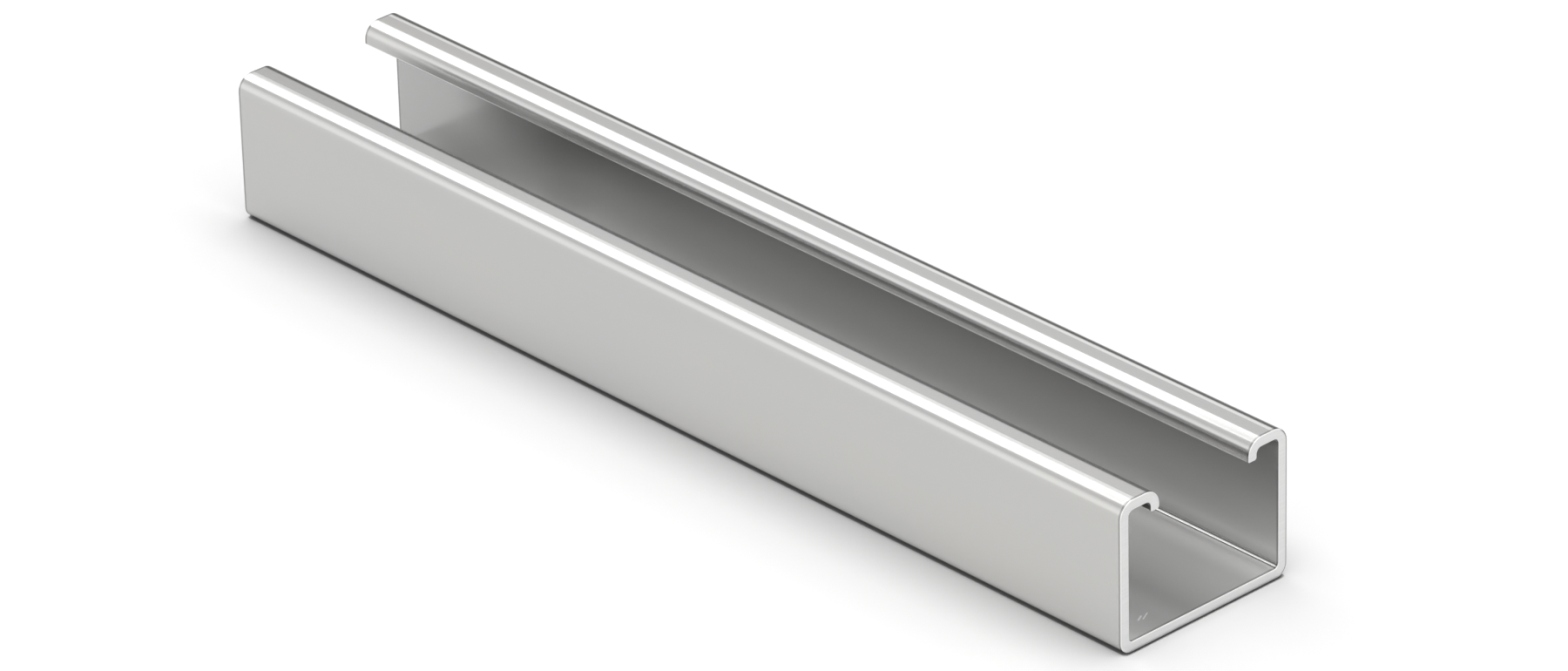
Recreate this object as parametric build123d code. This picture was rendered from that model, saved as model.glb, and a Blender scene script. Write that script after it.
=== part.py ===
"""A length of lipped framing channel, roll-formed from one strip of steel.

Millimetres. X runs along the channel, Y across it, and Z up from the web, which lies on the floor.
The origin is the middle of the web's underside.
"""
import os

from build123d import *

# Overall sizes of the piece, over its outside.
LENGTH = 235.0
WIDTH = 41.0
HEIGHT = 30.0

# The strip, and where it is bent.
WALL = 2.0
SLOT = 22.0             # clear gap between the two lips
LIP_FLAT = 1.0          # straight part of a lip, from its bend down to its tip
WEB_BEND = 0.5          # inside radius of the two bends beside the web
FLANGE_BEND = 1.2       # inside radius of the four bends beside the flanges
SHORTEST_FLAT = 0.1     # straight part that any leg keeps between its bends

# The strip's slit edges end up as the tips of the lips. Slitting rolls one corner of an edge over
# and leaves the other crisp, and it does so on opposite faces of the strip at its two edges.
TIP_ROLLED = 0.55
TIP_CRISP = 0.25

# Chamfer that deburring leaves round both sawn ends.
CUT_EASE = 0.15

# Heights and distances from the middle plane that follow from the sizes above.
wall_outside = WIDTH / 2
wall_inside = wall_outside - WALL
lip_front = SLOT / 2
lip_back = lip_front + WALL
flange_underside = HEIGHT - WALL
flange_width = wall_outside - lip_front


def bend(inside: float, room: float) -> tuple[float, float]:
    """Outside and inside radius of a bend of even thickness that leaves its leg a straight part."""
    outside = min(inside + WALL, room - SHORTEST_FLAT)
    return outside, max(outside - WALL, 0)


def half_outline(front: float, back: float) -> list[tuple[float, float, float]]:
    """Corners of the right half of the section, as (distance from the middle, height, radius).

    They run from the web up the outside of the wall, round the lip and back down the inside. The
    lip's tip has the radius front at the slot's side and back at the other.
    """
    web_outside, web_inside = bend(WEB_BEND, HEIGHT / 2)
    flange_outside, flange_inside = bend(FLANGE_BEND, flange_width / 2)
    lip_tip = HEIGHT - flange_outside - LIP_FLAT
    return [
        (wall_outside, 0, web_outside),
        (wall_outside, HEIGHT, flange_outside),
        (lip_front, HEIGHT, flange_outside),
        (lip_front, lip_tip, front),
        (lip_back, lip_tip, back),
        (lip_back, flange_underside, flange_inside),
        (wall_inside, flange_underside, flange_inside),
        (wall_inside, WALL, web_inside),
    ]


def section() -> Sketch:
    """The channel's section: one strip of even thickness, seen from its near end."""
    right = half_outline(front=TIP_CRISP, back=TIP_ROLLED)
    left = [(-y, z, radius) for y, z, radius in half_outline(front=TIP_ROLLED, back=TIP_CRISP)]
    corners = right + left[::-1]
    with BuildSketch(Plane.YZ) as profile:
        with BuildLine():
            FilletPolyline(*[(y, z) for y, z, _ in corners], radius=[r for _, _, r in corners], close=True)
        make_face()
    return profile.sketch


def strut_channel() -> Part:
    """The section drawn out to its length about the origin, with both sawn ends deburred."""
    stock = extrude(section(), amount=LENGTH / 2, both=True)
    far_end, *_, near_end = stock.faces().sort_by(Axis.X)
    ease = min(CUT_EASE, 0.8 * TIP_CRISP)
    return chamfer(far_end.edges() + near_end.edges(), length=ease)


channel = strut_channel()
channel.label = "strut_channel"

os.makedirs("parts", exist_ok=True)
export_step(channel, "parts/strut_channel.step")
print(f"strut_channel: {channel.volume:.1f} mm3, box {channel.bounding_box().size}")
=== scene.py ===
"""Dresses one length of lipped framing channel: bright zinc-coated strip with bare sawn ends.

Metres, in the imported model's frame: X runs along the channel to its near end, Y across it to its
right wall and Z up from the web, and the origin is the middle of the web's underside.
"""

import logging
import math
from dataclasses import dataclass, fields
from enum import Enum
from typing import Any, Callable

import bpy
from mathutils import Matrix, Vector


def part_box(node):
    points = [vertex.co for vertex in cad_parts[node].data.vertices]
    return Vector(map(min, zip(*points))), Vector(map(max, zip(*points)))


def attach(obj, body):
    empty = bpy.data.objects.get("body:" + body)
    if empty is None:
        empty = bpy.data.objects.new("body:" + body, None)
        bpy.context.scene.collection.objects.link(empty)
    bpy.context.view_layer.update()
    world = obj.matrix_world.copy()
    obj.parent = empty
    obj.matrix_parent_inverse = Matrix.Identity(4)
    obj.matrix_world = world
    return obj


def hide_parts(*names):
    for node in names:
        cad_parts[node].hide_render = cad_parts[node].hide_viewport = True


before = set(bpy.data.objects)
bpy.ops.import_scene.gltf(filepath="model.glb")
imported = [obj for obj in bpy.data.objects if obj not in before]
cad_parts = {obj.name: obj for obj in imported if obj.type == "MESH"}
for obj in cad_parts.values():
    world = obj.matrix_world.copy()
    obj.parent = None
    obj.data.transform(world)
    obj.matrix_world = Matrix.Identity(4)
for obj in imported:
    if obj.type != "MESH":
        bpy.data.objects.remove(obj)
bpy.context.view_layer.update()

log = logging.getLogger("channel")

MM = 0.001
NOISE_MEAN = 0.5
NODE = "strut_channel"

Number = "float | Term"
Colour = tuple[float, float, float]
WHITE: Colour = (1.0, 1.0, 1.0)
BLACK: Colour = (0.0, 0.0, 0.0)


class Surface(Enum):
    """The kinds of surface that the stock has, by the name of the finish on it."""

    COATED = "zinc_coat"
    SAWN = "sawn_steel"


def operator(operation: str, swap: bool = False) -> "Callable[[Term, Number], Term]":
    """Make an operator of two numbers.

    Args:
        operation: The Math node's operation.
        swap: True where the operator's own number comes second.

    Returns:
        The operator.
    """

    def result(term: "Term", value: Number) -> "Term":
        """Add the node."""
        return term.math(operation, value, swap=swap)

    return result


class Term:
    """A node's output as a number, so that an expression on it adds its Math nodes."""

    def __init__(self, nodes: "Nodes", socket: bpy.types.NodeSocket) -> None:
        """Keep the output and the tree that it belongs to."""
        self.nodes = nodes
        self.socket = socket

    def other(self, name: str) -> "Term":
        """Give another output of the same node."""
        return Term(self.nodes, self.nodes.find(self.socket.node.outputs, name))

    def math(self, operation: str, *values: Number, swap: bool = False) -> "Term":
        """Add a Math node.

        Args:
            operation: The node's operation.
            values: The other numbers that the operation takes.
            swap: True where this number comes second.

        Returns:
            The node's result.
        """
        order = [*values, self] if swap else [self, *values]
        return self.nodes.add("ShaderNodeMath", {"operation": operation}, dict(enumerate(order)))

    __add__ = operator("ADD")
    __radd__ = operator("ADD", swap=True)
    __sub__ = operator("SUBTRACT")
    __rsub__ = operator("SUBTRACT", swap=True)
    __mul__ = operator("MULTIPLY")
    __rmul__ = operator("MULTIPLY", swap=True)
    __truediv__ = operator("DIVIDE")
    larger = operator("MAXIMUM")
    smaller = operator("MINIMUM")

    def __neg__(self) -> "Term":
        """The number with its sign turned."""
        return self.math("MULTIPLY", -1.0)

    def __abs__(self) -> "Term":
        """The number without its sign."""
        return self.math("ABSOLUTE")

    def root(self) -> "Term":
        """The number's square root."""
        return self.math("SQRT")

    def over(self, value: Number) -> "Term":
        """1 where this number is the larger, and otherwise 0."""
        return self.math("GREATER_THAN", value)


class Nodes:
    """Adds nodes to one tree."""

    def __init__(self, tree: bpy.types.NodeTree) -> None:
        """Empty the tree and keep it."""
        self.tree = tree
        tree.nodes.clear()

    @staticmethod
    def find(sockets: Any, key: int | str) -> bpy.types.NodeSocket:
        """Find one of a node's sockets.

        Args:
            sockets: The node's inputs or outputs.
            key: The socket's index, or its name among those in use.

        Returns:
            The socket.
        """
        if isinstance(key, int):
            return sockets[key]
        return next(socket for socket in sockets if socket.name == key and socket.enabled)

    def add(
        self,
        kind: str,
        settings: dict[str, Any] | None = None,
        sockets: dict[int | str, Any] | None = None,
        output: int | str = 0,
    ) -> Term:
        """Add a node.

        Args:
            kind: The node's type.
            settings: Its properties, set before its sockets. The name stops gives a colour ramp's
                stops, choices the number of an index switch's items, and captures the names and
                types that a Capture Attribute node keeps.
            sockets: A value or a Term for each input, by name or index. A colour gets its alpha here.
            output: The output to return.

        Returns:
            That output, or the first input of a node that has no output.
        """
        node = self.tree.nodes.new(kind)
        makers = {"stops": self._set_stops, "choices": self._set_choices, "captures": self._set_captures}
        for name, value in (settings or {}).items():
            if name in makers:
                makers[name](node, value)
            else:
                setattr(node, name, value)
        for name, value in (sockets or {}).items():
            socket = self.find(node.inputs, name)
            if isinstance(value, Term):
                self.tree.links.new(value.socket, socket)
            elif socket.type == "RGBA":
                socket.default_value = (*value, 1.0)
            else:
                socket.default_value = value
        outputs = [socket for socket in node.outputs if socket.enabled]
        return Term(self, self.find(outputs, output) if outputs else node.inputs[0])

    @staticmethod
    def _set_stops(node: bpy.types.Node, stops: dict[float, float]) -> None:
        """Give a colour ramp its stops.

        Args:
            node: The ramp's node.
            stops: The greys, by their places from 0 to 1.
        """
        elements = node.color_ramp.elements
        places = sorted(stops)
        for place in places[2:]:
            elements.new(place)
        for element, place in zip(elements, places):
            element.position = place
            element.color = (stops[place],) * 3 + (1.0,)

    @staticmethod
    def _set_choices(node: bpy.types.Node, count: int) -> None:
        """Give an index switch as many items as there are choices."""
        for _ in range(count - len(node.index_switch_items)):
            node.index_switch_items.new()

    @staticmethod
    def _set_captures(node: bpy.types.Node, kept: dict[str, str]) -> None:
        """Give a Capture Attribute node its items, by the names and types in kept."""
        for name, sort in kept.items():
            node.capture_items.new(sort, name)

    def join(self, x: Number, y: Number, z: Number) -> Term:
        """Make a vector of three numbers."""
        return self.add("ShaderNodeCombineXYZ", {}, {0: x, 1: y, 2: z})

    def split(self, vector: Term) -> tuple[Term, Term, Term]:
        """Take a vector apart."""
        x = self.add("ShaderNodeSeparateXYZ", {}, {0: vector})
        return x, x.other("Y"), x.other("Z")

    def vector(self, operation: str, sockets: dict[int | str, Any], output: int | str = 0) -> Term:
        """Add a Vector Math node."""
        return self.add("ShaderNodeVectorMath", {"operation": operation}, sockets, output)

    def cover(self, colour: Any, layers: list[tuple[Number, Any]]) -> Term:
        """Lay colours over one another.

        Args:
            colour: The lowest of them.
            layers: How much shows of each of the others, from 0 to 1, and its colour.

        Returns:
            The colour that is left to see.
        """
        for share, upper in layers:
            sockets = {"Factor": share, "A": colour, "B": upper}
            colour = self.add("ShaderNodeMix", {"data_type": "RGBA"}, sockets, output="Result")
        return colour

    def metal(self, relief: tuple[float, float], height: Term, sockets: dict[str, Any]) -> None:
        """End a material in a metal with a little relief.

        Args:
            relief: How strongly it bends the light, and the height that 1 in it stands for.
            height: Its height.
            sockets: The shader's other sockets.
        """
        strength, distance = relief
        bump_sockets = {"Strength": strength, "Distance": distance, "Height": height}
        bump = self.add("ShaderNodeBump", {}, bump_sockets)
        shader = self.add("ShaderNodeBsdfPrincipled", {}, sockets | {"Normal": bump})
        self.add("ShaderNodeOutputMaterial", {}, {"Surface": shader})


def new_material(name: str) -> tuple[bpy.types.Material, Nodes]:
    """Make a material with nothing in it.

    Args:
        name: Its name.

    Returns:
        The material, and what adds nodes to it.
    """
    material = bpy.data.materials.new(name)
    material.use_nodes = True
    return material, Nodes(material.node_tree)


def new_object(name: str, data: Any) -> bpy.types.Object:
    """Make an object in the scene.

    Args:
        name: Its name.
        data: Its mesh, lamp or camera.

    Returns:
        The object.
    """
    item = bpy.data.objects.new(name, data)
    bpy.context.scene.collection.objects.link(item)
    return item


@dataclass(frozen=True)
class Fade:
    """A soft edge, where a mask goes smoothly from 0 to 1.

    Attributes:
        none: Where it is 0.
        full: Where it is 1, which may be the smaller number.
    """

    none: float
    full: float

    def of(self, value: Term, origin: float = 0.0) -> Term:
        """Give the mask of a value.

        Args:
            value: The value.
            origin: What the two places are counted from.

        Returns:
            The mask.
        """
        settings = {"interpolation_type": "SMOOTHSTEP"}
        sockets = {"Value": value, "From Min": origin + self.none, "From Max": origin + self.full}
        return value.nodes.add("ShaderNodeMapRange", settings, sockets, output="Result")


def fade_mm(none: float, full: float) -> Fade:
    """Give a fade whose places are in millimetres."""
    return Fade(none * MM, full * MM)


@dataclass(frozen=True)
class Grain:
    """Soft noise over a surface.

    Attributes:
        lumps: Lumps in a metre.
        drawn: Scale along each axis, under 1 where the lumps are drawn out.
        detail: How many finer layers it has.
    """

    lumps: float
    drawn: tuple[float, float, float] = (1.0, 1.0, 1.0)
    detail: float = 2.0

    def read(self, coordinates: Term) -> Term:
        """Read the noise at a place.

        Args:
            coordinates: The place.

        Returns:
            The noise, from 0 to 1.
        """
        nodes = coordinates.nodes
        sockets = {
            "Vector": nodes.vector("MULTIPLY", {0: coordinates, 1: self.drawn}),
            "Scale": self.lumps,
            "Detail": self.detail,
        }
        return nodes.add("ShaderNodeTexNoise", {"noise_dimensions": "3D"}, sockets)


@dataclass(frozen=True)
class Places:
    """Where the channel's faces are, for the finishes on them.

    They are distances from the middle, to the sawn ends and to the faces and edges on each side,
    and heights. The flanges' flat tops stop at flange_edge. The shoulder is the outside radius of
    the bends beside the flanges, and the foot that of the bends beside the web.
    """

    end: float
    wall_outside: float
    wall_inside: float
    lip_front: float
    lip_back: float
    lip_tip: float
    flange_edge: float
    top: float
    under_flange: float
    web_top: float
    shoulder: float
    foot: float


@dataclass(frozen=True)
class Spot:
    """What the coating reads at one spot of the surface.

    Attributes:
        places: Where the channel's faces are.
        x, y, z: The spot's place.
        reach, across: How far it is from the middle, along the channel and across it.
        drift: Its place along, moved a little by the clouds.
        tilt: 0 on a flat face, and more where a bend turns it.
        upward: How much its face looks up.
        clouds, lines, bloom: The coating's noises there.
    """

    places: Places
    x: Term
    y: Term
    z: Term
    reach: Term
    across: Term
    drift: Term
    tilt: Term
    upward: Term
    clouds: Term
    lines: Term
    bloom: Term


@dataclass(frozen=True)
class Edge:
    """One soft edge of a patch.

    Attributes:
        reads: What it goes by, a field of Spot.
        none: Where the patch begins.
        full: Where it is whole.
        place: What the two are counted from, a field of Places, or nothing for 0.
        unit: What they are counted in.
    """

    reads: str
    none: float
    full: float
    place: str = ""
    unit: float = MM

    def mask(self, spot: Spot) -> Term:
        """Give the mask of a spot."""
        fade = Fade(self.none * self.unit, self.full * self.unit)
        origin = getattr(spot.places, self.place) if self.place else 0.0
        return fade.of(getattr(spot, self.reads), origin)


@dataclass(frozen=True)
class Patch:
    """A part of the surface between soft edges.

    Attributes:
        edges: The edges.
        share: How much of it shows.
        tone: The colour on it, where it has one.
    """

    edges: tuple[Edge, ...]
    share: float = 1.0
    tone: Colour = (0.12, 0.12, 0.12)

    def mask(self, spot: Spot) -> Term:
        """Give how much of the patch shows at a spot."""
        masks = [edge.mask(spot) for edge in self.edges]
        return math.prod(masks[1:], start=masks[0]) * self.share

    def on(self, spot: Spot) -> tuple[Term, Colour]:
        """Give how much of the patch shows at a spot, and its colour."""
        return self.mask(spot), self.tone


@dataclass(frozen=True)
class Nick:
    """A short bright mark that a sharp corner left in the web's top face.

    Attributes:
        start: Its first end, as (x, y).
        end: Its other end.
        width: Its width.
        core: Share of the width that is bright all through.
    """

    start: tuple[float, float]
    end: tuple[float, float]
    width: float
    core: float = 0.3

    def mask(self, x: Term, y: Term) -> Term:
        """Mark the nick out by the distance to the line between its ends.

        Args:
            x: The place along the channel.
            y: The place across it.

        Returns:
            1 on the mark and 0 away from it.
        """
        reach = Vector(self.end) - Vector(self.start)
        along, across = x - self.start[0], y - self.start[1]
        share = (along * reach.x + across * reach.y) / reach.length_squared
        share = share.larger(0.0).smaller(1.0)
        off_along, off_across = along - share * reach.x, across - share * reach.y
        distance = (off_along * off_along + off_across * off_across).root()
        return Fade(self.width, self.core * self.width).of(distance)


@dataclass(frozen=True)
class InsidePaintedShade:
    """Painted shade and light inside the channel, and painted dark reflection low on the lips, uneven near
    both ends.

    Attributes:
        low_tone: The walls' colour low down, where they are painted lightest.
        high: The painted shade higher up, under the flanges.
        haze: The walls' painted shade, deeper again towards the far end.
        wiped: The walls' far end, painted one even tone over that painted shade and light.
        web: The web's part of the inside.
        web_tone: The web's colour, painted lighter than the coat.
        dull: The web near the near end, painted darker.
        stain: The web's painted shade near the far end, which the walls show in reflection.
        web_side_tone: The web's colour beside the walls, painted lighter.
        clear: How far from the darker middle that is.
        dull_middle: Where that middle is, across the channel.
        stain_hold: How much of those lighter sides the web's painted shade near the far end covers.
        pocket: The walls' painted shade in the pockets behind the lips.
        corner: The walls' painted shade just above the web.
        lip_painted_reflection: The painted dark reflection on the lips' front faces, near the far end.
        lip_band_painted_reflection: The thin painted dark reflection on the lips' bends, near the far end.
    """

    low_tone: Colour = (0.96, 0.96, 0.95)
    high: Patch = Patch((Edge("z", 1.0, 22.5, "web_top"),), tone=(0.27, 0.27, 0.265))
    haze: Patch = Patch((Edge("drift", -58.0, -82.0),), 0.30)
    wiped: Patch = Patch((Edge("x", -84.0, -104.0),), tone=(0.58, 0.58, 0.575))
    web: Patch = Patch((Edge("z", 0.8, 0.2, "web_top"),))
    web_tone: Colour = (0.74, 0.74, 0.735)
    dull: Patch = Patch((Edge("x", 75.0, 105.0),), tone=(0.62, 0.62, 0.615))
    stain: Patch = Patch(
        (Edge("drift", -55.0, -96.0), Edge("drift", -124.0, -98.0)), tone=(0.42, 0.42, 0.415)
    )
    web_side_tone: Colour = (0.92, 0.92, 0.915)
    clear: Fade = fade_mm(6.0, 12.5)
    dull_middle: float = 4.3 * MM
    stain_hold: float = 0.9
    pocket: Patch = Patch((Edge("z", -3.0, -1.0, "under_flange"),), 0.6)
    corner: Patch = Patch(
        (Edge("z", 3.4, 0.9, "web_top"), Edge("across", -0.4, -0.2, "wall_inside")), 0.3
    )
    lip_painted_reflection: Patch = Patch(
        (
            Edge("x", -64.0, -88.0),
            Edge("x", -115.0, -95.0),
            Edge("z", -0.8, -0.3, "lip_tip"),
            Edge("z", 2.2, 1.1, "lip_tip"),
            Edge("across", 1.2, 0.6, "lip_front"),
        ),
        0.64,
    )
    lip_band_painted_reflection: Patch = Patch(
        (
            Edge("x", -112.0, -88.0),
            Edge("z", 1.85, 2.15, "lip_tip"),
            Edge("z", 2.62, 2.22, "lip_tip"),
            Edge("across", 1.2, 0.6, "lip_front"),
        ),
        0.75,
    )

    def colour(self, spot: Spot) -> Term:
        """Paint shade and light on the faces that the channel closes in.

        Args:
            spot: The spot.

        Returns:
            The colour.
        """
        cover = spot.x.nodes.cover
        # Painted shade on the web: darker near both ends, and painted lighter beside the walls.
        stain, web_far_shade_tone = self.stain.on(spot)
        clear = self.clear.of(abs(spot.y - self.dull_middle)) * (1.0 - stain * self.stain_hold)
        layers = [self.dull.on(spot), (stain, web_far_shade_tone), (clear, self.web_side_tone)]
        web = cover(self.web_tone, layers)
        # Painted shade on the walls: darker higher up, towards the far end, in the pockets behind the lips
        # and just above the web, with one even tone at the far end.
        return cover(self.low_tone, [
            *(layer.on(spot) for layer in (self.high, self.haze, self.wiped)),
            (self.web.mask(spot), web),
            *(layer.on(spot) for layer in (self.pocket, self.corner)),
        ])


@dataclass(frozen=True)
class ZincCoat:
    """Bright zinc coating on rolled strip: satin, with fine rolling lines along the channel.

    Attributes:
        places: Where the channel's faces are.
        nicks: The marks in the web.
        film: The painted shade and light inside the channel and on the lips' faces.
        clouds: Wide unevenness of the coating.
        lines: The rolling lines.
        bloom: Fine unevenness of the coating.
        wander: How far the clouds move the film.
        tone: The coating's colour.
        edge_tone: What is left of a reflection that only grazes the surface.
        burnish: Colour of the bright streaks: rubbed or nicked wear and lightly burnished outer bends, and
            painted highlights on the inside bends, the creases, the flanges' turns and the lips' tips.
        dust_tone: Colour of the painted shade on the flanges' tops.
        warm: Where the coating is a little thicker.
        rolled: The rolling lines' colour.
        burnt: The thin dark line painted beside each cut, standing in for the dark reflection at the cut's
            edge.
        hollow: The channel's inside, with the lips.
        lip: The lips' part of it, which counts as outside.
        web_face: The web's top face, where the nicks are.
        bend: The bends, lightly burnished outside and painted bright inside as their highlight.
        outer_bend: How much of that shows on a bend outside.
        crease: The creases beside the web, painted bright as their highlight.
        rubbed: The rubbed spots near the sawn ends.
        slit_edge_and_highlight: The lips' tips, bare steel from slitting, and painted bright too as their
            lower corner's highlight.
        witness: The painted highlight along the line where a flange turns down into its wall.
        rubbed_share: How bright the rubbed spots are.
        nicked_share: How bright the nicks are.
        dust: The painted shade on the flanges' flat tops, towards the far end.
        dust_left: How much more of it the left flange has.
        dust_share: How much the right one has.
        metallic: How metallic the coating is.
        shine: How much of that the inside and the nicks take, and how much the creases add.
        roughness: The coating's mean roughness.
        rough_noise: How much the clouds, the lines and the bloom change that.
        rough_parts: How much rougher a bend, a rubbed spot and the inside are.
        inner_bend: Share of its roughness that a bend inside loses.
        calm: How much of the fine unevenness is smoothed inside.
        raised: How much the lines and the bloom stand out.
        nick_depth: How deep the nicks are, against those.
        relief: How strongly that bends the light, and the height that 1 in it stands for.
    """

    places: Places
    nicks: tuple[Nick, ...]
    film: InsidePaintedShade = InsidePaintedShade()
    clouds: Grain = Grain(45.0, (0.35, 1.0, 1.0), 3.0)
    lines: Grain = Grain(2600.0, (0.012, 1.0, 1.0))
    bloom: Grain = Grain(900.0)
    wander: float = 40.0 * MM
    tone: Colour = (0.645, 0.645, 0.640)
    edge_tone: Colour = (0.50, 0.50, 0.50)
    burnish: Colour = (0.95, 0.95, 0.94)
    dust_tone: Colour = (0.25, 0.25, 0.25)
    warm: Patch = Patch((Edge("clouds", 0.35, 0.7, unit=1.0),), tone=(0.658, 0.650, 0.632))
    rolled: Patch = Patch((Edge("lines", 0.3, 0.75, unit=1.0),), 0.05, (0.86, 0.86, 0.85))
    burnt: Patch = Patch((Edge("reach", -0.7, -0.4, "end"),), 0.6, (0.25, 0.25, 0.25))
    hollow: Patch = Patch((
        Edge("across", 0.6, 0.3, "wall_inside"),
        Edge("z", -0.6, -0.3, "web_top"),
        Edge("z", 0.6, 0.3, "under_flange"),
    ))
    lip: Patch = Patch((Edge("across", -0.3, -0.6, "lip_back"), Edge("z", -0.6, -0.3, "lip_tip")))
    web_face: Patch = Patch((Edge("z", -0.3, -0.1, "web_top"), Edge("z", 0.3, 0.1, "web_top")))
    bend: Patch = Patch((Edge("tilt", 0.02, 0.22, unit=1.0),))
    outer_bend: float = 0.08
    crease: Patch = Patch((Edge("z", 2.0, 1.5, "web_top"), Edge("tilt", 0.003, 0.06, unit=1.0)))
    rubbed: Patch = Patch((Edge("reach", -1.6, 0.0, "end"), Edge("bloom", 0.35, 0.65, unit=1.0)))
    # Bare slit edge, painted bright too as the tip's highlight.
    slit_edge_and_highlight: Patch = Patch((
        Edge("across", 0.2, 0.0, "lip_back"),
        Edge("z", -0.35, -0.2, "lip_tip"),
        Edge("z", 0.35, 0.2, "lip_tip"),
    ))
    # Painted highlight where each flange's top turns down.
    witness: Patch = Patch((
        Edge("across", -0.75, -0.45, "flange_edge"),
        Edge("across", 0.35, 0.05, "flange_edge"),
        Edge("z", 1.5, 1.8, "under_flange"),
    ))
    rubbed_share: float = 0.10
    nicked_share: float = 0.7
    dust: Patch = Patch((
        Edge("upward", 0.97, 0.995, unit=1.0),
        Edge("z", 0.0, 1.0, "under_flange"),
        Edge("x", 0.0, -100.0),
    ))
    dust_left: Patch = Patch((Edge("y", 5.0, -5.0),), 0.16)
    dust_share: float = 0.06
    metallic: float = 0.90
    shine: tuple[float, float, float] = (0.20, 0.45, 0.3)
    roughness: float = 0.21
    rough_noise: tuple[float, float, float] = (0.06, 0.08, 0.03)
    rough_parts: tuple[float, float, float] = (-0.03, 0.02, -0.03)
    inner_bend: float = 0.4
    calm: float = 0.8
    raised: tuple[float, float] = (0.35, 0.25)
    nick_depth: float = 8.0
    relief: tuple[float, float] = (0.35, 0.004 * MM)

    def material(self) -> bpy.types.Material:
        """Make the finish.

        Returns:
            The material.
        """
        material, nodes = new_material(Surface.COATED.value)
        spot = self._read(nodes)
        inside = self.hollow.mask(spot) * (1.0 - self.lip.mask(spot))
        bend, rubbed = self.bend.mask(spot), self.rubbed.mask(spot)
        # Painted highlight in the creases beside the web.
        crease = inside * self.crease.mask(spot)
        nicked = self._nicked(spot)
        calm = 1.0 - inside * self.calm

        # Bright streaks: rubbed and nicked wear, lightly burnished outer bends, and painted highlights on
        # the inside bends, the creases, where each flange turns down and at the lips' tips.
        wear_and_highlight = bend * (self.outer_bend + inside * (1.0 - self.outer_bend))
        wear_and_highlight = wear_and_highlight + rubbed * self.rubbed_share + nicked * self.nicked_share
        wear_and_highlight = wear_and_highlight.larger(self.witness.mask(spot)).larger(self.slit_edge_and_highlight.mask(spot)).larger(crease)
        # Painted shade on the flanges' flat tops, darker towards the far end and more on the left.
        far_flange_shaded = self.dust.mask(spot) * (self.dust_left.mask(spot) + self.dust_share)
        colour = nodes.cover(self.tone, [
            self.warm.on(spot),
            self.rolled.on(spot),
            # Painted shade and light inside the channel.
            (inside, self.film.colour(spot)),
            # Painted dark reflection on the lips near the far end.
            self.film.lip_painted_reflection.on(spot),
            self.film.lip_band_painted_reflection.on(spot),
            (wear_and_highlight, self.burnish),
            (far_flange_shaded, self.dust_tone),
            # Painted dark reflection in a thin line beside each cut.
            self.burnt.on(spot),
        ])
        clouds, lines, bloom = self.rough_noise
        uneven = (spot.clouds - NOISE_MEAN) * clouds + (spot.lines - NOISE_MEAN) * lines
        uneven = uneven + (spot.bloom - NOISE_MEAN) * bloom
        roughness = self.roughness + uneven * calm
        for part, rougher in zip((bend, rubbed, inside), self.rough_parts):
            roughness = roughness + part * rougher
        film, nicks, creases = self.shine
        metallic = (self.metallic - inside * film) * (1.0 - nicked * nicks) + crease * creases
        lines, bloom = self.raised
        height = (spot.lines * lines + spot.bloom * bloom) * calm - nicked * self.nick_depth
        nodes.metal(self.relief, height, {
            "Base Color": colour,
            "Metallic": metallic,
            "Roughness": roughness * (1.0 - bend * inside * self.inner_bend),
            "Specular Tint": self.edge_tone,
        })
        return material

    def _read(self, nodes: Nodes) -> Spot:
        """Read a spot of the surface.

        Args:
            nodes: The tree.

        Returns:
            The spot.
        """
        coordinates = nodes.add("ShaderNodeTexCoord", output="Object")
        x, y, z = nodes.split(coordinates)
        _, normal_y, normal_z = nodes.split(coordinates.other("Normal"))
        clouds = self.clouds.read(coordinates)
        return Spot(
            places=self.places,
            x=x,
            y=y,
            z=z,
            reach=abs(x),
            across=abs(y),
            drift=x + (clouds - NOISE_MEAN) * self.wander,
            tilt=1.0 - abs(normal_y).larger(abs(normal_z)),
            upward=normal_z,
            clouds=clouds,
            lines=self.lines.read(coordinates),
            bloom=self.bloom.read(coordinates),
        )

    def _nicked(self, spot: Spot) -> Term:
        """Mark out the nicks, on the web's top face alone.

        Args:
            spot: The spot.

        Returns:
            1 on them, and 0 elsewhere.
        """
        nicked, *others = (nick.mask(spot.x, spot.y) for nick in self.nicks)
        for other in others:
            nicked = nicked.larger(other)
        return nicked * self.web_face.mask(spot)


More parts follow.
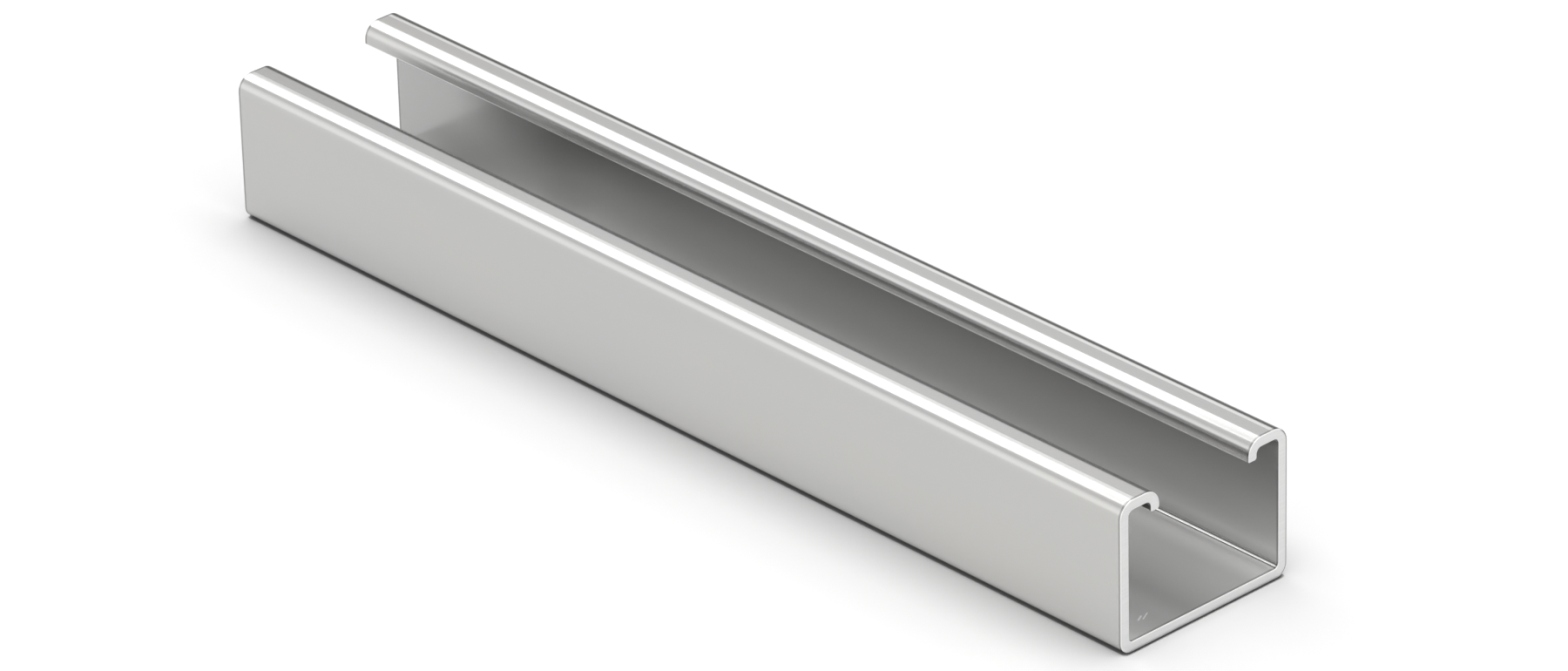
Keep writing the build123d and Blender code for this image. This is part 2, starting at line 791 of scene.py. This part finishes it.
@dataclass(frozen=True)
class SawnSteel:
    """Bare steel as a saw leaves it: bright, matt, with fine parallel tooth marks.

    Attributes:
        places: Where the channel's faces are.
        tone: Its colour.
        tooth_tone: Colour of the tooth marks.
        rim: Colour of the edges that deburring leaves round the sawn face, painted bright as their
            highlight.
        edge_tone: What is left of a reflection that only grazes the surface.
        outline_dark_tone: Colour of the thin dark line painted along the right edge, as its dark
            reflection.
        teeth: The tooth marks.
        patches: Wide unevenness of the cut.
        teeth_seen: How much tooth mark shows.
        rim_width: How wide the rim is.
        rim_samples: How many places near a spot are looked at to find it.
        rim_bend: How alike the faces near a spot look where the rim begins and where it is full.
        rim_turn: How much the rim's own face looks along the channel, in the same way.
        outline_depth: Depths below the outline over which that painted dark line fades.
        outline_side: How near the right wall's outer face it begins.
        outline_share: How dark it is.
        roughness: The steel's mean roughness.
        rough_noise: How much the tooth marks and the patches change that.
        relief: How strongly the tooth marks bend the light, and how high they stand.
    """

    places: Places
    tone: Colour = (0.85, 0.85, 0.845)
    tooth_tone: Colour = (0.90, 0.90, 0.895)
    rim: Colour = (1.0, 1.0, 0.995)
    edge_tone: Colour = (0.5, 0.5, 0.5)
    outline_dark_tone: Colour = (0.20, 0.20, 0.20)
    teeth: Grain = Grain(2400.0, (1.0, 0.06, 1.0))
    patches: Grain = Grain(350.0)
    teeth_seen: Fade = Fade(0.25, 0.75)
    rim_width: float = 0.35 * MM
    rim_samples: int = 4
    rim_bend: Fade = Fade(0.995, 0.93)
    rim_turn: Fade = Fade(0.98, 0.85)
    outline_depth: Fade = fade_mm(0.392, 0.168)
    outline_side: Fade = fade_mm(-2.0, -1.0)
    outline_share: float = 0.85
    roughness: float = 0.42
    rough_noise: tuple[float, float] = (0.12, 0.10)
    relief: tuple[float, float] = (0.5, 0.01 * MM)

    def material(self) -> bpy.types.Material:
        """Make the finish.

        Returns:
            The material.
        """
        material, nodes = new_material(Surface.SAWN.value)
        coordinates = nodes.add("ShaderNodeTexCoord", output="Object")
        teeth, patches = self.teeth.read(coordinates), self.patches.read(coordinates)
        normal_x, _, _ = nodes.split(coordinates.other("Normal"))
        flat = nodes.add("ShaderNodeNewGeometry", output="True Normal")
        eased = nodes.add("ShaderNodeBevel", {"samples": self.rim_samples}, {"Radius": self.rim_width})
        alike = nodes.vector("DOT_PRODUCT", {0: flat, 1: eased}, "Value")
        colour = nodes.cover(self.tone, [
            (self.teeth_seen.of(teeth), self.tooth_tone),
            # Painted highlight on the deburred rim.
            (self.rim_bend.of(alike).larger(self.rim_turn.of(abs(normal_x))), self.rim),
            # Painted dark reflection along the right edge of the sawn face.
            (self._dark_outline(coordinates) * self.outline_share, self.outline_dark_tone),
        ])
        by_teeth, by_patches = self.rough_noise
        roughness = self.roughness + (teeth - NOISE_MEAN) * by_teeth
        nodes.metal(self.relief, teeth, {
            "Base Color": colour,
            "Metallic": 1.0,
            "Roughness": roughness + (patches - NOISE_MEAN) * by_patches,
            "Specular Tint": self.edge_tone,
        })
        return material

    def _dark_outline(self, coordinates: Term) -> Term:
        """Mark out the painted dark line along the right wall's outer edge, by the depth below its outline.

        Args:
            coordinates: The place that is read.

        Returns:
            1 on the edge, and 0 elsewhere.
        """
        _, y, z = coordinates.nodes.split(coordinates)
        top, side = self.places.top, self.places.wall_outside
        shoulder, foot = self.places.shoulder, self.places.foot
        depths = []
        for radius, beyond in ((shoulder, z - (top - shoulder)), (foot, foot - z)):
            across = (y - (side - radius)).larger(0.0)
            along = beyond.larger(0.0)
            depths.append(radius - (across * across + along * along).root())
        edge = self.outline_depth.of(depths[0].smaller(depths[1]))
        return edge * self.outline_side.of(y, side)


@dataclass(frozen=True)
class ChannelStock:
    """The channel: one strip, bent six times, with rolled tips and deburred sawn ends.

    Attributes:
        length: Over both sawn ends.
        width: Over the outside of both walls.
        height: Over the web and the flanges.
        wall: Thickness of the strip.
        slot: Clear gap between the lips.
        lip_flat: Straight part of a lip, from its bend to its tip.
        web_bend: Inside radius of the strip's bends beside the web.
        pool: Radius of the zinc that pools in those bends and hides it.
        flange_bend: Inside radius of the bends beside the flanges.
        tip_rolled: Radius of the corner that slitting rolled over, at each lip's tip.
        tip_crisp: Radius of the corner that slitting left crisp.
        cut_ease: Radius that deburring leaves round the sawn ends.
        bend_steps: Steps in each bend.
        tip_steps: Steps in each corner of a tip.
        ease_steps: Steps in the round of a sawn end's edges.
    """

    length: float
    width: float
    height: float
    wall: float = 2.0 * MM
    slot: float = 22.0 * MM
    lip_flat: float = 1.0 * MM
    web_bend: float = 0.5 * MM
    pool: float = 1.0 * MM
    flange_bend: float = 1.2 * MM
    tip_rolled: float = 0.55 * MM
    tip_crisp: float = 0.25 * MM
    cut_ease: float = 0.15 * MM
    bend_steps: int = 18
    tip_steps: int = 8
    ease_steps: int = 4

    CORNERS = 16
    TIP_CORNERS = (3, 4)
    SAWN_TURN = 0.1
    NORMAL_WEIGHT = 50

    @classmethod
    def from_frame(cls) -> "ChannelStock":
        """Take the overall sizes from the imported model.

        Returns:
            The stock.
        """
        low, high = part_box(NODE)
        length, width, height = high - low
        return cls(length=length, width=width, height=height)

    def places(self) -> Places:
        """Work out where the faces are.

        Returns:
            The places.
        """
        shoulder = self.flange_bend + self.wall
        return Places(
            end=self.length / 2,
            wall_outside=self.width / 2,
            wall_inside=self.width / 2 - self.wall,
            lip_front=self.slot / 2,
            lip_back=self.slot / 2 + self.wall,
            lip_tip=self.height - shoulder - self.lip_flat,
            flange_edge=self.width / 2 - shoulder,
            top=self.height,
            under_flange=self.height - self.wall,
            web_top=self.wall,
            shoulder=shoulder,
            foot=self.web_bend + self.wall,
        )

    def build(self) -> bpy.types.Object:
        """Roll the channel: run the node tree, keep its mesh and weight its normals.

        Returns:
            The piece, with one material slot for each surface.
        """
        tree = self._tree()
        piece = new_object("channel_stock", bpy.data.meshes.new("channel_stock"))
        roller = piece.modifiers.new("roll", "NODES")
        roller.node_group = tree
        wanted = self._sizes() | {
            surface.name.title(): bpy.data.materials[surface.value] for surface in Surface
        }
        for item in tree.interface.items_tree:
            if item.in_out == "INPUT" and item.name in wanted:
                roller[item.identifier] = wanted[item.name]
        weights = piece.modifiers.new("weights", "WEIGHTED_NORMAL")
        weights.mode = "FACE_AREA"
        weights.weight = self.NORMAL_WEIGHT
        graph = bpy.context.evaluated_depsgraph_get()
        rolled = bpy.data.meshes.new_from_object(piece.evaluated_get(graph), depsgraph=graph)
        piece.modifiers.clear()
        piece.data = rolled
        rolled.name = "channel_stock"
        return piece

    def dress(self, piece: bpy.types.Object) -> bpy.types.Object:
        """Hide the imported part that the piece stands in for, and hang the piece under what carries it.

        Args:
            piece: The piece.

        Returns:
            The same piece.
        """
        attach(piece, "root")
        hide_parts(NODE)
        return piece

    def _sizes(self) -> dict[str, Any]:
        """Give each size by the name of its socket, such as Lip Flat."""
        return {size.name.replace("_", " ").title(): getattr(self, size.name) for size in fields(self)}

    def _tree(self) -> bpy.types.NodeTree:
        """Make the node tree that rolls the channel from its named sizes.

        Returns:
            The tree.
        """
        tree = bpy.data.node_groups.new("rolled_channel", "GeometryNodeTree")
        for name, size in self._sizes().items():
            kind = "NodeSocketInt" if isinstance(size, int) else "NodeSocketFloat"
            tree.interface.new_socket(name, in_out="INPUT", socket_type=kind)
        for surface in Surface:
            name = surface.name.title()
            tree.interface.new_socket(name, in_out="INPUT", socket_type="NodeSocketMaterial")
        tree.interface.new_socket("Geometry", in_out="OUTPUT", socket_type="NodeSocketGeometry")
        nodes = Nodes(tree)
        given = nodes.add("NodeGroupInput")
        outline, outward = self._outline(given)
        path, inset = self._path(given)
        sockets = {"Curve": path, "Profile Curve": outline, "Fill Caps": True}
        shape = nodes.add("GeometryNodeCurveToMesh", {}, sockets)
        drawn_in = nodes.vector("SCALE", {"Vector": outward, "Scale": -inset})
        normal_x, _, _ = nodes.split(nodes.add("GeometryNodeInputNormal"))
        sawn = abs(normal_x).over(self.SAWN_TURN)
        for kind, sockets in (
            ("GeometryNodeSetPosition", {"Offset": drawn_in}),
            ("GeometryNodeSetShadeSmooth", {"Shade Smooth": True}),
            ("GeometryNodeRealizeInstances", {}),
            ("GeometryNodeSetMaterial", {"Material": given.other("Coated")}),
            ("GeometryNodeSetMaterial", {"Material": given.other("Sawn"), "Selection": sawn}),
            ("NodeGroupOutput", {}),
        ):
            shape = nodes.add(kind, {}, {"Geometry": shape} | sockets)
        return tree

    def _line(self, nodes: Nodes, count: Number, x: Number, y: Number) -> Term:
        """Draw an open line of straight runs.

        Args:
            nodes: The tree.
            count: How many points it has.
            x: A point's place along X.
            y: Its place along Y.

        Returns:
            The curve.
        """
        line = nodes.add("GeometryNodeMeshLine", {"mode": "OFFSET"}, {"Count": count})
        sockets = {"Geometry": line, "Position": nodes.join(x, y, 0.0)}
        placed = nodes.add("GeometryNodeSetPosition", {}, sockets)
        return nodes.add("GeometryNodeMeshToCurve", {}, {"Mesh": placed})

    def _outline(self, given: Term) -> tuple[Term, Term]:
        """Draw the section as a closed curve, turned as the sweep wants it.

        Args:
            given: Any output of the tree's group input.

        Returns:
            The curve, and the direction out of the metal at each of its points.
        """
        nodes = given.nodes
        index = nodes.add("GeometryNodeInputIndex")
        left = index.over(self.CORNERS / 2 - 0.5)
        corner = index.smaller(self.CORNERS - 1 - index)
        rolled, crisp = given.other("Tip Rolled"), given.other("Tip Crisp")
        front = crisp + (rolled - crisp) * left
        back = rolled - (rolled - crisp) * left
        across, up, radius = self._half_outline(given, corner, front, back)
        side = 1.0 - 2.0 * left
        curve = self._line(nodes, self.CORNERS, -(across * side), -up)
        closed = nodes.add("GeometryNodeSetSplineCyclic", {}, {"Geometry": curve, "Cyclic": True})
        first, last = self.TIP_CORNERS
        at_tip = corner.over(first - 0.5) * (1.0 - corner.over(last + 0.5))
        bend_steps, tip_steps = given.other("Bend Steps"), given.other("Tip Steps")
        steps = bend_steps + (tip_steps - bend_steps) * at_tip
        sockets = {"Curve": closed, "Count": steps, "Radius": radius}
        bent = nodes.add("GeometryNodeFilletCurve", {"mode": "POLY"}, sockets)
        tangent_x, tangent_y, _ = nodes.split(nodes.add("GeometryNodeInputTangent"))
        sockets = {"Geometry": bent, "Outward": nodes.join(0.0, -tangent_y, tangent_x)}
        kept = nodes.add("GeometryNodeCaptureAttribute", {"captures": {"Outward": "VECTOR"}}, sockets)
        return kept, kept.other("Outward")

    def _half_outline(self, given: Term, corner: Term, front: Term, back: Term) -> tuple[Term, Term, Term]:
        """Place the corners of half the section.

        They run from the web up the outside of the wall, round the lip and back down the inside.

        Args:
            given: Any output of the tree's group input.
            corner: Which corner is asked for.
            front: Radius of the lip's tip at the slot's side.
            back: Radius of the lip's tip at the other side.

        Returns:
            The corner's distance from the middle, its height and its radius.
        """
        wall, height = given.other("Wall"), given.other("Height")
        web_bend, flange_bend = given.other("Web Bend"), given.other("Flange Bend")
        wall_outside = given.other("Width") / 2.0
        wall_inside = wall_outside - wall
        lip_front = given.other("Slot") / 2.0
        lip_back = lip_front + wall
        under_flange = height - wall
        foot = web_bend + wall
        shoulder = flange_bend + wall
        lip_tip = height - shoulder - given.other("Lip Flat")
        corners = [
            (wall_outside, 0.0, foot),
            (wall_outside, height, shoulder),
            (lip_front, height, shoulder),
            (lip_front, lip_tip, front),
            (lip_back, lip_tip, back),
            (lip_back, under_flange, flange_bend),
            (wall_inside, under_flange, flange_bend),
            (wall_inside, wall, given.other("Pool")),
        ]
        settings = {"data_type": "FLOAT", "choices": len(corners)}
        across, up, radius = (
            given.nodes.add(
                "GeometryNodeIndexSwitch",
                settings,
                {"Index": corner} | {place + 1: value for place, value in enumerate(values)},
            )
            for values in zip(*corners)
        )
        return across, up, radius

    def _path(self, given: Term) -> tuple[Term, Term]:
        """Draw the line that the section follows, with the stations that round the sawn ends.

        Args:
            given: Any output of the tree's group input.

        Returns:
            The line, and how far the section is drawn in at each of its points.
        """
        nodes = given.nodes
        steps, ease = given.other("Ease Steps"), given.other("Cut Ease")
        index = nodes.add("GeometryNodeInputIndex")
        last = steps * 2.0 + 1.0
        station = index.smaller(last - index)
        turn = station / steps * (math.pi / 2)
        side = 1.0 - 2.0 * index.over(steps + 0.5)
        reach = given.other("Length") / 2.0 - ease * (1.0 - turn.math("COSINE"))
        sockets = {
            "Geometry": self._line(nodes, last + 1.0, -(reach * side), 0.0),
            "Inset": ease * (1.0 - turn.math("SINE")),
        }
        kept = nodes.add("GeometryNodeCaptureAttribute", {"captures": {"Inset": "FLOAT"}}, sockets)
        return kept, kept.other("Inset")


@dataclass(frozen=True)
class Floor:
    """The plain pale floor that the channel lies on.

    Attributes:
        end: How far the channel's sawn ends are from the middle.
        reach: How far the floor runs from the middle, each way.
        drop: How far it is below the web's underside, so that the two faces don't meet.
        tone: Its colour.
        shown: How bright metal shows it, where 1 is white.
        plain: How much of what metal shows is that plain brightness, without the wide shadow.
        white: How far from the middle the camera sees the paint itself, and nothing but white.
        shade: How much darker the paint gets where the channel closes it in.
        shade_reach: How far that reaches.
        contact: How far the dark line reaches along which the channel touches the floor.
        samples: How many ways are looked to find that shade, and to find that line.
        contact_open: How open a spot of the line is where it is darkest, and where it ends.
        contact_tone: What that line leaves of the light along the bends.
        end_tone: What it leaves below the sawn ends.
        below_end: How near the sawn ends that is.
    """

    end: float
    reach: float = 4.0
    drop: float = 0.02 * MM
    tone: Colour = WHITE
    shown: Colour = (0.79, 0.79, 0.79)
    plain: float = 0.75
    white: Fade = Fade(0.25, 0.80)
    shade: float = 0.49
    shade_reach: float = 13.0 * MM
    contact: float = 0.7 * MM
    samples: tuple[int, int] = (2, 4)
    contact_open: Fade = Fade(0.72, 0.98)
    contact_tone: float = 0.28
    end_tone: float = 0.08
    below_end: Fade = fade_mm(-0.2, 0.0)

    def build(self) -> bpy.types.Object:
        """Lay the floor.

        Returns:
            The floor.
        """
        corners = [(-1, -1), (1, -1), (1, 1), (-1, 1)]
        mesh = bpy.data.meshes.new("floor")
        places = [(x * self.reach, y * self.reach, -self.drop) for x, y in corners]
        mesh.from_pydata(places, [], [(0, 1, 2, 3)])
        mesh.materials.append(self._material())
        floor = new_object("floor", mesh)
        return floor

    def _material(self) -> bpy.types.Material:
        """Make the floor's matt paint.

        Returns:
            The material.
        """
        material, nodes = new_material("floor_paint")
        in_metal = nodes.add("ShaderNodeLightPath", output="Is Glossy Ray")
        open_share, clear_share = (
            nodes.add("ShaderNodeAmbientOcclusion", {"samples": samples}, {"Distance": reach}, output="AO")
            for samples, reach in zip(self.samples, (self.shade_reach, self.contact))
        )
        place = nodes.add("ShaderNodeTexCoord", output="Object")
        x, _, _ = nodes.split(place)
        below_end = self.below_end.of(abs(x), self.end)
        left = self.contact_tone + (self.end_tone - self.contact_tone) * below_end
        clear_share = left + (1.0 - left) * self.contact_open.of(clear_share)
        light = (1.0 - self.shade * (1.0 - open_share)) * clear_share
        paint = nodes.add("ShaderNodeBsdfDiffuse", {}, {"Color": nodes.cover(BLACK, [(light, self.tone)])})
        backdrop = nodes.add("ShaderNodeEmission", {}, {"Color": self.shown})
        mirrored = in_metal * open_share * clear_share * self.plain
        floor = nodes.add("ShaderNodeMixShader", {}, {0: mirrored, 1: paint, 2: backdrop})
        away = nodes.vector("LENGTH", {0: place}, "Value")
        white = nodes.add("ShaderNodeEmission", {}, {"Color": WHITE})
        beyond = in_metal.other("Is Camera Ray") * self.white.of(away)
        shader = nodes.add("ShaderNodeMixShader", {}, {0: beyond, 1: floor, 2: white})
        nodes.add("ShaderNodeOutputMaterial", {}, {"Surface": shader})
        return material


@dataclass(frozen=True)
class SoftboxPair:
    """Two flat rectangular lamps overhead, facing straight down, one past each end of the channel.

    Attributes:
        height: How high they hang.
        apart: How far each is from the middle, along X, as a share of that height.
        aside: How far both are to the right, in the same way.
        size: How far each runs along X and along Y, in the same way.
        radiance: How bright their faces are, where 1 is white.
    """

    height: float = 1.2
    apart: float = 1.02
    aside: float = 0.235
    size: tuple[float, float] = (0.64, 1.21)
    radiance: float = 1.88

    def build(self) -> list[bpy.types.Object]:
        """Hang the lamps.

        Returns:
            The lamps.
        """
        boxes = []
        for name, side in (("softbox_far", -1), ("softbox_near", 1)):
            lamp = bpy.data.lights.new(name, "AREA")
            lamp.shape = "RECTANGLE"
            lamp.size, lamp.size_y = (share * self.height for share in self.size)
            lamp.energy = self.radiance * math.pi * lamp.size * lamp.size_y
            box = new_object(name, lamp)
            box.location = (side * self.apart * self.height, self.aside * self.height, self.height)
            boxes.append(box)
        return boxes


@dataclass(frozen=True)
class Surroundings:
    """The plain white studio room, as brightness by direction, with one dark screen low behind the channel.

    Attributes:
        room: Brightness all round, by the sine of the height above the horizon.
        screen: Brightness where the screen stands, in the same way.
        screen_azimuth: Degrees from straight behind the channel to the screen's middle.
        screen_half: Degrees from its middle to where it begins to fade, and to where it ends.
        full: What 1 in those tables stands for.
        least: Keeps the level part of a direction above 0, straight up.
    """

    room: tuple[tuple[float, float], ...] = (
        (0.0, 0.59), (0.125, 0.635), (0.25, 0.64), (0.36, 0.58),
        (0.47, 0.49), (0.55, 0.37), (0.75, 0.40), (0.85, 0.55),
    )
    screen: tuple[tuple[float, float], ...] = (
        (0.0, 0.04), (0.32, 0.05), (0.40, 0.34), (0.44, 0.60),
        (0.48, 0.50), (0.56, 0.43), (0.75, 0.40), (0.85, 0.55),
    )
    screen_azimuth: float = 43.6
    screen_half: tuple[float, float] = (18.0, 36.0)
    full: float = 1.8
    least: float = 1e-6

    def build(self) -> bpy.types.World:
        """Make the world.

        Returns:
            The world.
        """
        world = bpy.data.worlds.new("studio")
        bpy.context.scene.world = world
        world.use_nodes = True
        nodes = Nodes(world.node_tree)
        along, across, rise = nodes.split(nodes.add("ShaderNodeTexCoord", output="Generated"))
        room, screen = (
            nodes.add("ShaderNodeValToRGB", {"stops": dict(stops)}, {"Fac": rise})
            for stops in (self.room, self.screen)
        )
        azimuth = math.radians(self.screen_azimuth)
        level = (along * along + across * across + self.least).root()
        facing = (across * math.cos(azimuth) - along * math.sin(azimuth)) / level
        fades, ends = (math.cos(math.radians(angle)) for angle in self.screen_half)
        colour = nodes.cover(room, [(Fade(ends, fades).of(facing), screen)])
        light = nodes.add("ShaderNodeBackground", {}, {"Color": colour, "Strength": self.full})
        white = nodes.add("ShaderNodeBackground", {}, {"Color": WHITE, "Strength": 1.0})
        seen = nodes.add("ShaderNodeLightPath", output="Is Camera Ray")
        shown = nodes.add("ShaderNodeMixShader", {}, {0: seen, 1: light, 2: white})
        nodes.add("ShaderNodeOutputWorld", {}, {"Surface": shown})
        return world


@dataclass(frozen=True)
class Viewpoint:
    """The camera.

    Attributes:
        azimuth: Degrees round from straight in front.
        elevation: Degrees above the horizon.
        roll: Degrees that the picture is turned.
        distance: From the camera to the target.
        target: The point in the middle of the picture.
        lens: Focal length in millimetres.
        sensor: Width of the sensor in millimetres.
    """

    azimuth: float = 47.6
    elevation: float = 28.19
    roll: float = -1.5
    distance: float = 1.629
    target: tuple[float, float, float] = (5.866 * MM, 4.506 * MM, 11.587 * MM)
    lens: float = 205.5
    sensor: float = 36.0

    def build(self) -> bpy.types.Object:
        """Set up the camera and make it the scene's.

        Returns:
            The camera.
        """
        angles = (self.azimuth, self.elevation, self.roll)
        azimuth, elevation, roll = (math.radians(angle) for angle in angles)
        level = math.cos(elevation)
        back = Vector((math.sin(azimuth) * level, -math.cos(azimuth) * level, math.sin(elevation)))
        right = Vector((math.cos(azimuth), math.sin(azimuth), 0.0))
        up = back.cross(right)
        turned_right = math.cos(roll) * right + math.sin(roll) * up
        turned_up = math.cos(roll) * up - math.sin(roll) * right
        data = bpy.data.cameras.new("camera")
        data.sensor_width = self.sensor
        data.lens = self.lens
        camera = new_object("camera", data)
        turn = Matrix((turned_right, turned_up, back)).transposed()
        place = Matrix.Translation(Vector(self.target) + back * self.distance)
        camera.matrix_world = place @ turn.to_4x4()
        bpy.context.scene.camera = camera
        return camera


NICKS = (
    Nick((112.3 * MM, -10.45 * MM), (113.0 * MM, -11.8 * MM), 0.26 * MM),
    Nick((112.3 * MM, -8.9 * MM), (113.3 * MM, -10.9 * MM), 0.18 * MM),
)


def main() -> None:
    """Build the channel, the stage, the light and the camera, in that order."""
    logging.basicConfig(level=logging.INFO, format="%(name)s: %(message)s")
    bpy.context.scene.view_settings.view_transform = "Standard"

    stock = ChannelStock.from_frame()
    places = stock.places()
    for finish in (ZincCoat(places, NICKS), SawnSteel(places)):
        log.info("finish %s", finish.material().name)
    piece = stock.dress(stock.build())
    log.info("%s: %d faces", piece.name, len(piece.data.polygons))

    log.info("stage: %s", Floor(places.end).build().name)
    log.info("world: %s", Surroundings().build().name)
    for box in SoftboxPair().build():
        log.info("lamp: %s", box.name)
    log.info("camera: %s", Viewpoint().build().name)


if __name__ == "__main__":
    main()
